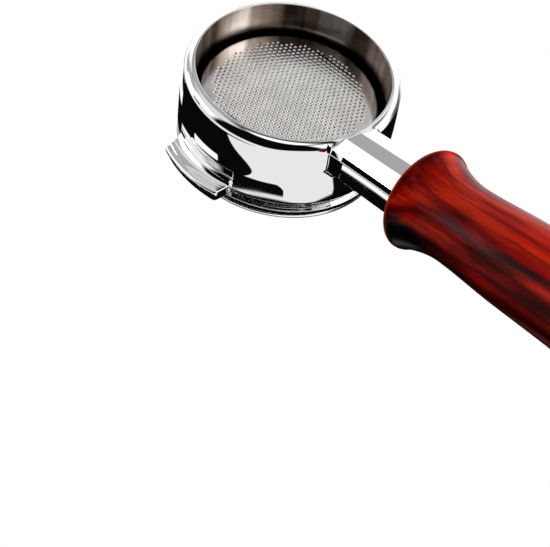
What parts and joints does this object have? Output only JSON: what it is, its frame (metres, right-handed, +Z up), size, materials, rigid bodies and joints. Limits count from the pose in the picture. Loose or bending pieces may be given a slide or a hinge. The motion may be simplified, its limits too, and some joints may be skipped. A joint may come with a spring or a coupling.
{
  "type": "portafilter",
  "caption": "Bottomless espresso portafilter: chromed ring with bayonet lugs, lift-out perforated filter basket and a turned wooden handle on a sloping faceted neck.",
  "frame": {"origin": "centre of the basket's rim, in the plane that seals against the group's gasket", "axes": "+Z up along the ring's axis into the group; +X out along the handle, seen from above; the handle slopes down 18.6 degrees below +X"},
  "size_m": [0.2206, 0.0826, 0.0871],
  "materials": {
    "chrome": "mirror polished",
    "stainless": "satin",
    "spring_steel": "drawn wire",
    "zinc_steel": "zinc plated",
    "fibre": "matt",
    "wood": "gloss lacquer"
  },
  "bodies": {
    "holder": {"holder_ring": "chrome", "basket_spring": "spring_steel", "fibre_washer": "fibre", "wood_handle": "wood", "tie_rod": "zinc_steel", "rear_washer": "zinc_steel", "lock_washer": "spring_steel", "rear_nut": "zinc_steel", "end_cap": "chrome"},
    "basket": {"filter_basket": "stainless"}
  },
  "joints": [
    {"name": "basket_lift", "type": "slide", "parent": "holder", "child": "basket", "axis": [0, 0, 1], "range_m": [0, 0.035]}
  ]
}
